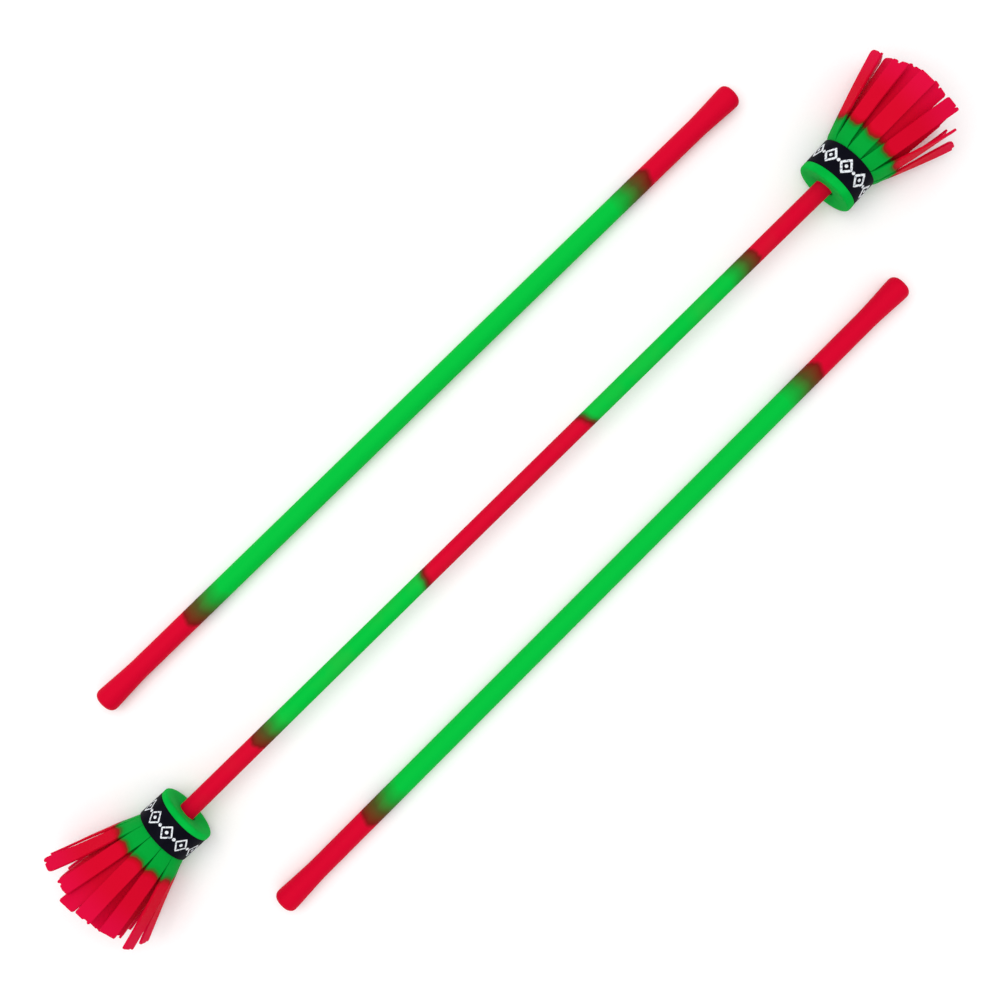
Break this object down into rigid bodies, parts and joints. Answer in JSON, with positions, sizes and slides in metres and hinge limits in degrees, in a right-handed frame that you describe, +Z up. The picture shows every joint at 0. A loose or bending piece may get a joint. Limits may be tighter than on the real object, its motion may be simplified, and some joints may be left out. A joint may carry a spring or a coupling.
{
  "type": "devil stick",
  "caption": "Flower-stick set: a centre stick with a rubber-fringed flower at each end, and a pair of plain hand sticks with flared tips.",
  "frame": {"origin": "on the surface the set lies on, under the middle of the centre stick, which is the middle of the whole set", "axes": "+X along the sticks towards flower a, +Y across them towards the left hand stick, +Z up"},
  "size_m": [0.6067, 0.1544, 0.051],
  "materials": {
    "core_fibreglass": "pultruded fibreglass rod",
    "grip_silicone": "matt two-colour silicone, red and green, run together where they meet",
    "hand_grip_silicone": "matt silicone, green with red towards the ends",
    "hand_tip_rubber": "matt red silicone rubber",
    "flange_rubber": "satin green moulded rubber",
    "fringe_rubber": "matt rubber strips, green at the root and red beyond",
    "band_rubber": "matt black band with a plain light print"
  },
  "bodies": {
    "centre_stick": {"core_rod": "core_fibreglass", "grip_sleeve": "grip_silicone", "flower_a_flange": "flange_rubber", "flower_a_inner_collar": "fringe_rubber", "flower_a_outer_collar": "fringe_rubber", "flower_a_band": "band_rubber", "flower_b_flange": "flange_rubber", "flower_b_inner_collar": "fringe_rubber", "flower_b_outer_collar": "fringe_rubber", "flower_b_band": "band_rubber"},
    "flower_a_outer_strip_01": {"flower_a_outer_strip_01": "fringe_rubber"},
    "flower_a_outer_strip_02": {"flower_a_outer_strip_02": "fringe_rubber"},
    "flower_a_outer_strip_03": {"flower_a_outer_strip_03": "fringe_rubber"},
    "flower_a_outer_strip_04": {"flower_a_outer_strip_04": "fringe_rubber"},
    "flower_a_outer_strip_05": {"flower_a_outer_strip_05": "fringe_rubber"},
    "flower_a_outer_strip_06": {"flower_a_outer_strip_06": "fringe_rubber"},
    "flower_a_outer_strip_07": {"flower_a_outer_strip_07": "fringe_rubber"},
    "flower_a_outer_strip_08": {"flower_a_outer_strip_08": "fringe_rubber"},
    "flower_a_outer_strip_09": {"flower_a_outer_strip_09": "fringe_rubber"},
    "flower_a_outer_strip_10": {"flower_a_outer_strip_10": "fringe_rubber"},
    "flower_a_outer_strip_11": {"flower_a_outer_strip_11": "fringe_rubber"},
    "flower_a_inner_strip_01": {"flower_a_inner_strip_01": "fringe_rubber"},
    "flower_a_inner_strip_02": {"flower_a_inner_strip_02": "fringe_rubber"},
    "flower_a_inner_strip_03": {"flower_a_inner_strip_03": "fringe_rubber"},
    "flower_a_inner_strip_04": {"flower_a_inner_strip_04": "fringe_rubber"},
    "flower_a_inner_strip_05": {"flower_a_inner_strip_05": "fringe_rubber"},
    "flower_a_inner_strip_06": {"flower_a_inner_strip_06": "fringe_rubber"},
    "flower_a_inner_strip_07": {"flower_a_inner_strip_07": "fringe_rubber"},
    "flower_a_inner_strip_08": {"flower_a_inner_strip_08": "fringe_rubber"},
    "flower_a_inner_strip_09": {"flower_a_inner_strip_09": "fringe_rubber"},
    "flower_a_inner_strip_10": {"flower_a_inner_strip_10": "fringe_rubber"},
    "flower_b_outer_strip_01": {"flower_b_outer_strip_01": "fringe_rubber"},
    "flower_b_outer_strip_02": {"flower_b_outer_strip_02": "fringe_rubber"},
    "flower_b_outer_strip_03": {"flower_b_outer_strip_03": "fringe_rubber"},
    "flower_b_outer_strip_04": {"flower_b_outer_strip_04": "fringe_rubber"},
    "flower_b_outer_strip_05": {"flower_b_outer_strip_05": "fringe_rubber"},
    "flower_b_outer_strip_06": {"flower_b_outer_strip_06": "fringe_rubber"},
    "flower_b_outer_strip_07": {"flower_b_outer_strip_07": "fringe_rubber"},
    "flower_b_outer_strip_08": {"flower_b_outer_strip_08": "fringe_rubber"},
    "flower_b_outer_strip_09": {"flower_b_outer_strip_09": "fringe_rubber"},
    "flower_b_outer_strip_10": {"flower_b_outer_strip_10": "fringe_rubber"},
    "flower_b_outer_strip_11": {"flower_b_outer_strip_11": "fringe_rubber"},
    "flower_b_outer_strip_12": {"flower_b_outer_strip_12": "fringe_rubber"},
    "flower_b_inner_strip_01": {"flower_b_inner_strip_01": "fringe_rubber"},
    "flower_b_inner_strip_02": {"flower_b_inner_strip_02": "fringe_rubber"},
    "flower_b_inner_strip_03": {"flower_b_inner_strip_03": "fringe_rubber"},
    "flower_b_inner_strip_04": {"flower_b_inner_strip_04": "fringe_rubber"},
    "flower_b_inner_strip_05": {"flower_b_inner_strip_05": "fringe_rubber"},
    "flower_b_inner_strip_06": {"flower_b_inner_strip_06": "fringe_rubber"},
    "flower_b_inner_strip_07": {"flower_b_inner_strip_07": "fringe_rubber"},
    "flower_b_inner_strip_08": {"flower_b_inner_strip_08": "fringe_rubber"},
    "flower_b_inner_strip_09": {"flower_b_inner_strip_09": "fringe_rubber"},
    "flower_b_inner_strip_10": {"flower_b_inner_strip_10": "fringe_rubber"},
    "hand_stick_left": {"hand_stick_left_core_rod": "core_fibreglass", "hand_stick_left_grip_sleeve": "hand_grip_silicone", "hand_stick_left_tips": "hand_tip_rubber"},
    "hand_stick_right": {"hand_stick_right_core_rod": "core_fibreglass", "hand_stick_right_grip_sleeve": "hand_grip_silicone", "hand_stick_right_tips": "hand_tip_rubber"}
  },
  "joints": [
    {"name": "flower_a_opening", "type": "hinge", "parent": "centre_stick", "child": "flower_a_outer_strip_01", "pos_m": [0.24965, 0.00158, 0.03174], "axis": [0, -0.9945, 0.1045], "range_deg": [0, 40], "stiffness_Nm_per_rad": 0.001},
    {"name": "flower_a_outer_strip_02_bend", "type": "hinge", "parent": "centre_stick", "child": "flower_a_outer_strip_02", "pos_m": [0.24965, 0.00945, 0.0285], "axis": [0, -0.7801, 0.6256], "range_deg": [0, 40], "stiffness_Nm_per_rad": 0.001},
    {"name": "flower_a_outer_strip_03_bend", "type": "hinge", "parent": "centre_stick", "child": "flower_a_outer_strip_03", "pos_m": [0.24965, 0.01433, 0.02152], "axis": [0, -0.3181, 0.9481], "range_deg": [0, 40], "stiffness_Nm_per_rad": 0.001},
    {"name": "flower_a_outer_strip_04_bend", "type": "hinge", "parent": "centre_stick", "child": "flower_a_outer_strip_04", "pos_m": [0.24965, 0.01465, 0.01301], "axis": [0, 0.245, 0.9695], "range_deg": [0, 40], "stiffness_Nm_per_rad": 0.001},
    {"name": "flower_a_outer_strip_05_bend", "type": "hinge", "parent": "centre_stick", "child": "flower_a_outer_strip_05", "pos_m": [0.24965, 0.01032, 0.00568], "axis": [0, 0.7303, 0.6832], "range_deg": [0, 40], "stiffness_Nm_per_rad": 0.001},
    {"name": "flower_a_outer_strip_06_bend", "type": "hinge", "parent": "centre_stick", "child": "flower_a_outer_strip_06", "pos_m": [0.24965, 0.00272, 0.00185], "axis": [0, 0.9837, 0.1799], "range_deg": [0, 40], "stiffness_Nm_per_rad": 0.001},
    {"name": "flower_a_outer_strip_07_bend", "type": "hinge", "parent": "centre_stick", "child": "flower_a_outer_strip_07", "pos_m": [0.24965, -0.00575, 0.00274], "axis": [0, 0.9248, -0.3805], "range_deg": [0, 40], "stiffness_Nm_per_rad": 0.001},
    {"name": "flower_a_outer_strip_08_bend", "type": "hinge", "parent": "centre_stick", "child": "flower_a_outer_strip_08", "pos_m": [0.24965, -0.01239, 0.00806], "axis": [0, 0.5723, -0.8201], "range_deg": [0, 40], "stiffness_Nm_per_rad": 0.001},
    {"name": "flower_a_outer_strip_09_bend", "type": "hinge", "parent": "centre_stick", "child": "flower_a_outer_strip_09", "pos_m": [0.24965, -0.0151, 0.01614], "axis": [0, 0.0381, -0.9993], "range_deg": [0, 40], "stiffness_Nm_per_rad": 0.001},
    {"name": "flower_a_outer_strip_10_bend", "type": "hinge", "parent": "centre_stick", "child": "flower_a_outer_strip_10", "pos_m": [0.24965, -0.01301, 0.02439], "axis": [0, -0.5082, -0.8612], "range_deg": [0, 40], "stiffness_Nm_per_rad": 0.001},
    {"name": "flower_a_outer_strip_11_bend", "type": "hinge", "parent": "centre_stick", "child": "flower_a_outer_strip_11", "pos_m": [0.24965, -0.0068, 0.03021], "axis": [0, -0.8932, -0.4497], "range_deg": [0, 40], "stiffness_Nm_per_rad": 0.001},
    {"name": "flower_a_inner_strip_01_bend", "type": "hinge", "parent": "centre_stick", "child": "flower_a_inner_strip_01", "pos_m": [0.25115, 0.00527, 0.02854], "axis": [0, -0.9135, 0.4067], "range_deg": [0, 40], "stiffness_Nm_per_rad": 0.001},
    {"name": "flower_a_inner_strip_02_bend", "type": "hinge", "parent": "centre_stick", "child": "flower_a_inner_strip_02", "pos_m": [0.25115, 0.01121, 0.02319], "axis": [0, -0.5, 0.866], "range_deg": [0, 40], "stiffness_Nm_per_rad": 0.001},
    {"name": "flower_a_inner_strip_03_bend", "type": "hinge", "parent": "centre_stick", "child": "flower_a_inner_strip_03", "pos_m": [0.25115, 0.01288, 0.01536], "axis": [0, 0.1045, 0.9945], "range_deg": [0, 40], "stiffness_Nm_per_rad": 0.001},
    {"name": "flower_a_inner_strip_04_bend", "type": "hinge", "parent": "centre_stick", "child": "flower_a_inner_strip_04", "pos_m": [0.25115, 0.00962, 0.00805], "axis": [0, 0.6691, 0.7431], "range_deg": [0, 40], "stiffness_Nm_per_rad": 0.001},
    {"name": "flower_a_inner_strip_05_bend", "type": "hinge", "parent": "centre_stick", "child": "flower_a_inner_strip_05", "pos_m": [0.25115, 0.00269, 0.00404], "axis": [0, 0.9781, 0.2079], "range_deg": [0, 40], "stiffness_Nm_per_rad": 0.001},
    {"name": "flower_a_inner_strip_06_bend", "type": "hinge", "parent": "centre_stick", "child": "flower_a_inner_strip_06", "pos_m": [0.25115, -0.00527, 0.00488], "axis": [0, 0.9135, -0.4067], "range_deg": [0, 40], "stiffness_Nm_per_rad": 0.001},
    {"name": "flower_a_inner_strip_07_bend", "type": "hinge", "parent": "centre_stick", "child": "flower_a_inner_strip_07", "pos_m": [0.25115, -0.01121, 0.01023], "axis": [0, 0.5, -0.866], "range_deg": [0, 40], "stiffness_Nm_per_rad": 0.001},
    {"name": "flower_a_inner_strip_08_bend", "type": "hinge", "parent": "centre_stick", "child": "flower_a_inner_strip_08", "pos_m": [0.25115, -0.01288, 0.01806], "axis": [0, -0.1045, -0.9945], "range_deg": [0, 40], "stiffness_Nm_per_rad": 0.001},
    {"name": "flower_a_inner_strip_09_bend", "type": "hinge", "parent": "centre_stick", "child": "flower_a_inner_strip_09", "pos_m": [0.25115, -0.00962, 0.02538], "axis": [0, -0.6691, -0.7431], "range_deg": [0, 40], "stiffness_Nm_per_rad": 0.001},
    {"name": "flower_a_inner_strip_10_bend", "type": "hinge", "parent": "centre_stick", "child": "flower_a_inner_strip_10", "pos_m": [0.25115, -0.00269, 0.02938], "axis": [0, -0.9781, -0.2079], "range_deg": [0, 40], "stiffness_Nm_per_rad": 0.001},
    {"name": "flower_b_opening", "type": "hinge", "parent": "centre_stick", "child": "flower_b_outer_strip_01", "pos_m": [-0.24965, 0, 0.03182], "axis": [0, 1, 0], "range_deg": [0, 40], "stiffness_Nm_per_rad": 0.001},
    {"name": "flower_b_outer_strip_02_bend", "type": "hinge", "parent": "centre_stick", "child": "flower_b_outer_strip_02", "pos_m": [-0.24965, -0.00756, 0.0298], "axis": [0, 0.866, 0.5], "range_deg": [0, 40], "stiffness_Nm_per_rad": 0.001},
    {"name": "flower_b_outer_strip_03_bend", "type": "hinge", "parent": "centre_stick", "child": "flower_b_outer_strip_03", "pos_m": [-0.24965, -0.01309, 0.02426], "axis": [0, 0.5, 0.866], "range_deg": [0, 40], "stiffness_Nm_per_rad": 0.001},
    {"name": "flower_b_outer_strip_04_bend", "type": "hinge", "parent": "centre_stick", "child": "flower_b_outer_strip_04", "pos_m": [-0.24965, -0.01511, 0.01671], "axis": [0, 0, 1], "range_deg": [0, 40], "stiffness_Nm_per_rad": 0.001},
    {"name": "flower_b_outer_strip_05_bend", "type": "hinge", "parent": "centre_stick", "child": "flower_b_outer_strip_05", "pos_m": [-0.24965, -0.01309, 0.00915], "axis": [0, -0.5, 0.866], "range_deg": [0, 40], "stiffness_Nm_per_rad": 0.001},
    {"name": "flower_b_outer_strip_06_bend", "type": "hinge", "parent": "centre_stick", "child": "flower_b_outer_strip_06", "pos_m": [-0.24965, -0.00756, 0.00362], "axis": [0, -0.866, 0.5], "range_deg": [0, 40], "stiffness_Nm_per_rad": 0.001},
    {"name": "flower_b_outer_strip_07_bend", "type": "hinge", "parent": "centre_stick", "child": "flower_b_outer_strip_07", "pos_m": [-0.24965, 0, 0.0016], "axis": [0, -1, 0], "range_deg": [0, 40], "stiffness_Nm_per_rad": 0.001},
    {"name": "flower_b_outer_strip_08_bend", "type": "hinge", "parent": "centre_stick", "child": "flower_b_outer_strip_08", "pos_m": [-0.24965, 0.00756, 0.00362], "axis": [0, -0.866, -0.5], "range_deg": [0, 40], "stiffness_Nm_per_rad": 0.001},
    {"name": "flower_b_outer_strip_09_bend", "type": "hinge", "parent": "centre_stick", "child": "flower_b_outer_strip_09", "pos_m": [-0.24965, 0.01309, 0.00915], "axis": [0, -0.5, -0.866], "range_deg": [0, 40], "stiffness_Nm_per_rad": 0.001},
    {"name": "flower_b_outer_strip_10_bend", "type": "hinge", "parent": "centre_stick", "child": "flower_b_outer_strip_10", "pos_m": [-0.24965, 0.01511, 0.01671], "axis": [0, 0, -1], "range_deg": [0, 40], "stiffness_Nm_per_rad": 0.001},
    {"name": "flower_b_outer_strip_11_bend", "type": "hinge", "parent": "centre_stick", "child": "flower_b_outer_strip_11", "pos_m": [-0.24965, 0.01309, 0.02426], "axis": [0, 0.5, -0.866], "range_deg": [0, 40], "stiffness_Nm_per_rad": 0.001},
    {"name": "flower_b_outer_strip_12_bend", "type": "hinge", "parent": "centre_stick", "child": "flower_b_outer_strip_12", "pos_m": [-0.24965, 0.00756, 0.0298], "axis": [0, 0.866, -0.5], "range_deg": [0, 40], "stiffness_Nm_per_rad": 0.001},
    {"name": "flower_b_inner_strip_01_bend", "type": "hinge", "parent": "centre_stick", "child": "flower_b_inner_strip_01", "pos_m": [-0.25115, -0.004, 0.02903], "axis": [0, 0.9511, 0.309], "range_deg": [0, 40], "stiffness_Nm_per_rad": 0.001},
    {"name": "flower_b_inner_strip_02_bend", "type": "hinge", "parent": "centre_stick", "child": "flower_b_inner_strip_02", "pos_m": [-0.25115, -0.01048, 0.02432], "axis": [0, 0.5878, 0.809], "range_deg": [0, 40], "stiffness_Nm_per_rad": 0.001},
    {"name": "flower_b_inner_strip_03_bend", "type": "hinge", "parent": "centre_stick", "child": "flower_b_inner_strip_03", "pos_m": [-0.25115, -0.01295, 0.01671], "axis": [0, 0, 1], "range_deg": [0, 40], "stiffness_Nm_per_rad": 0.001},
    {"name": "flower_b_inner_strip_04_bend", "type": "hinge", "parent": "centre_stick", "child": "flower_b_inner_strip_04", "pos_m": [-0.25115, -0.01048, 0.0091], "axis": [0, -0.5878, 0.809], "range_deg": [0, 40], "stiffness_Nm_per_rad": 0.001},
    {"name": "flower_b_inner_strip_05_bend", "type": "hinge", "parent": "centre_stick", "child": "flower_b_inner_strip_05", "pos_m": [-0.25115, -0.004, 0.00439], "axis": [0, -0.9511, 0.309], "range_deg": [0, 40], "stiffness_Nm_per_rad": 0.001},
    {"name": "flower_b_inner_strip_06_bend", "type": "hinge", "parent": "centre_stick", "child": "flower_b_inner_strip_06", "pos_m": [-0.25115, 0.004, 0.00439], "axis": [0, -0.9511, -0.309], "range_deg": [0, 40], "stiffness_Nm_per_rad": 0.001},
    {"name": "flower_b_inner_strip_07_bend", "type": "hinge", "parent": "centre_stick", "child": "flower_b_inner_strip_07", "pos_m": [-0.25115, 0.01048, 0.0091], "axis": [0, -0.5878, -0.809], "range_deg": [0, 40], "stiffness_Nm_per_rad": 0.001},
    {"name": "flower_b_inner_strip_08_bend", "type": "hinge", "parent": "centre_stick", "child": "flower_b_inner_strip_08", "pos_m": [-0.25115, 0.01295, 0.01671], "axis": [0, 0, -1], "range_deg": [0, 40], "stiffness_Nm_per_rad": 0.001},
    {"name": "flower_b_inner_strip_09_bend", "type": "hinge", "parent": "centre_stick", "child": "flower_b_inner_strip_09", "pos_m": [-0.25115, 0.01048, 0.02432], "axis": [0, 0.5878, -0.809], "range_deg": [0, 40], "stiffness_Nm_per_rad": 0.001},
    {"name": "flower_b_inner_strip_10_bend", "type": "hinge", "parent": "centre_stick", "child": "flower_b_inner_strip_10", "pos_m": [-0.25115, 0.004, 0.02903], "axis": [0, 0.9511, -0.309], "range_deg": [0, 40], "stiffness_Nm_per_rad": 0.001},
    {"name": "hand_stick_left_lift", "type": "slide", "parent": "centre_stick", "child": "hand_stick_left", "axis": [0, 0, 1], "range_m": [0, 0.2]},
    {"name": "hand_stick_right_lift", "type": "slide", "parent": "centre_stick", "child": "hand_stick_right", "axis": [0, 0, 1], "range_m": [0, 0.2]}
  ],
  "couplings": [
    {"joint": "flower_a_outer_strip_02_bend", "follows": "flower_a_opening", "ratio": 1},
    {"joint": "flower_a_outer_strip_03_bend", "follows": "flower_a_opening", "ratio": 1},
    {"joint": "flower_a_outer_strip_04_bend", "follows": "flower_a_opening", "ratio": 1},
    {"joint": "flower_a_outer_strip_05_bend", "follows": "flower_a_opening", "ratio": 1},
    {"joint": "flower_a_outer_strip_06_bend", "follows": "flower_a_opening", "ratio": 1},
    {"joint": "flower_a_outer_strip_07_bend", "follows": "flower_a_opening", "ratio": 1},
    {"joint": "flower_a_outer_strip_08_bend", "follows": "flower_a_opening", "ratio": 1},
    {"joint": "flower_a_outer_strip_09_bend", "follows": "flower_a_opening", "ratio": 1},
    {"joint": "flower_a_outer_strip_10_bend", "follows": "flower_a_opening", "ratio": 1},
    {"joint": "flower_a_outer_strip_11_bend", "follows": "flower_a_opening", "ratio": 1},
    {"joint": "flower_a_inner_strip_01_bend", "follows": "flower_a_opening", "ratio": 1},
    {"joint": "flower_a_inner_strip_02_bend", "follows": "flower_a_opening", "ratio": 1},
    {"joint": "flower_a_inner_strip_03_bend", "follows": "flower_a_opening", "ratio": 1},
    {"joint": "flower_a_inner_strip_04_bend", "follows": "flower_a_opening", "ratio": 1},
    {"joint": "flower_a_inner_strip_05_bend", "follows": "flower_a_opening", "ratio": 1},
    {"joint": "flower_a_inner_strip_06_bend", "follows": "flower_a_opening", "ratio": 1},
    {"joint": "flower_a_inner_strip_07_bend", "follows": "flower_a_opening", "ratio": 1},
    {"joint": "flower_a_inner_strip_08_bend", "follows": "flower_a_opening", "ratio": 1},
    {"joint": "flower_a_inner_strip_09_bend", "follows": "flower_a_opening", "ratio": 1},
    {"joint": "flower_a_inner_strip_10_bend", "follows": "flower_a_opening", "ratio": 1},
    {"joint": "flower_b_outer_strip_02_bend", "follows": "flower_b_opening", "ratio": 1},
    {"joint": "flower_b_outer_strip_03_bend", "follows": "flower_b_opening", "ratio": 1},
    {"joint": "flower_b_outer_strip_04_bend", "follows": "flower_b_opening", "ratio": 1},
    {"joint": "flower_b_outer_strip_05_bend", "follows": "flower_b_opening", "ratio": 1},
    {"joint": "flower_b_outer_strip_06_bend", "follows": "flower_b_opening", "ratio": 1},
    {"joint": "flower_b_outer_strip_07_bend", "follows": "flower_b_opening", "ratio": 1},
    {"joint": "flower_b_outer_strip_08_bend", "follows": "flower_b_opening", "ratio": 1},
    {"joint": "flower_b_outer_strip_09_bend", "follows": "flower_b_opening", "ratio": 1},
    {"joint": "flower_b_outer_strip_10_bend", "follows": "flower_b_opening", "ratio": 1},
    {"joint": "flower_b_outer_strip_11_bend", "follows": "flower_b_opening", "ratio": 1},
    {"joint": "flower_b_outer_strip_12_bend", "follows": "flower_b_opening", "ratio": 1},
    {"joint": "flower_b_inner_strip_01_bend", "follows": "flower_b_opening", "ratio": 1},
    {"joint": "flower_b_inner_strip_02_bend", "follows": "flower_b_opening", "ratio": 1},
    {"joint": "flower_b_inner_strip_03_bend", "follows": "flower_b_opening", "ratio": 1},
    {"joint": "flower_b_inner_strip_04_bend", "follows": "flower_b_opening", "ratio": 1},
    {"joint": "flower_b_inner_strip_05_bend", "follows": "flower_b_opening", "ratio": 1},
    {"joint": "flower_b_inner_strip_06_bend", "follows": "flower_b_opening", "ratio": 1},
    {"joint": "flower_b_inner_strip_07_bend", "follows": "flower_b_opening", "ratio": 1},
    {"joint": "flower_b_inner_strip_08_bend", "follows": "flower_b_opening", "ratio": 1},
    {"joint": "flower_b_inner_strip_09_bend", "follows": "flower_b_opening", "ratio": 1},
    {"joint": "flower_b_inner_strip_10_bend", "follows": "flower_b_opening", "ratio": 1}
  ]
}
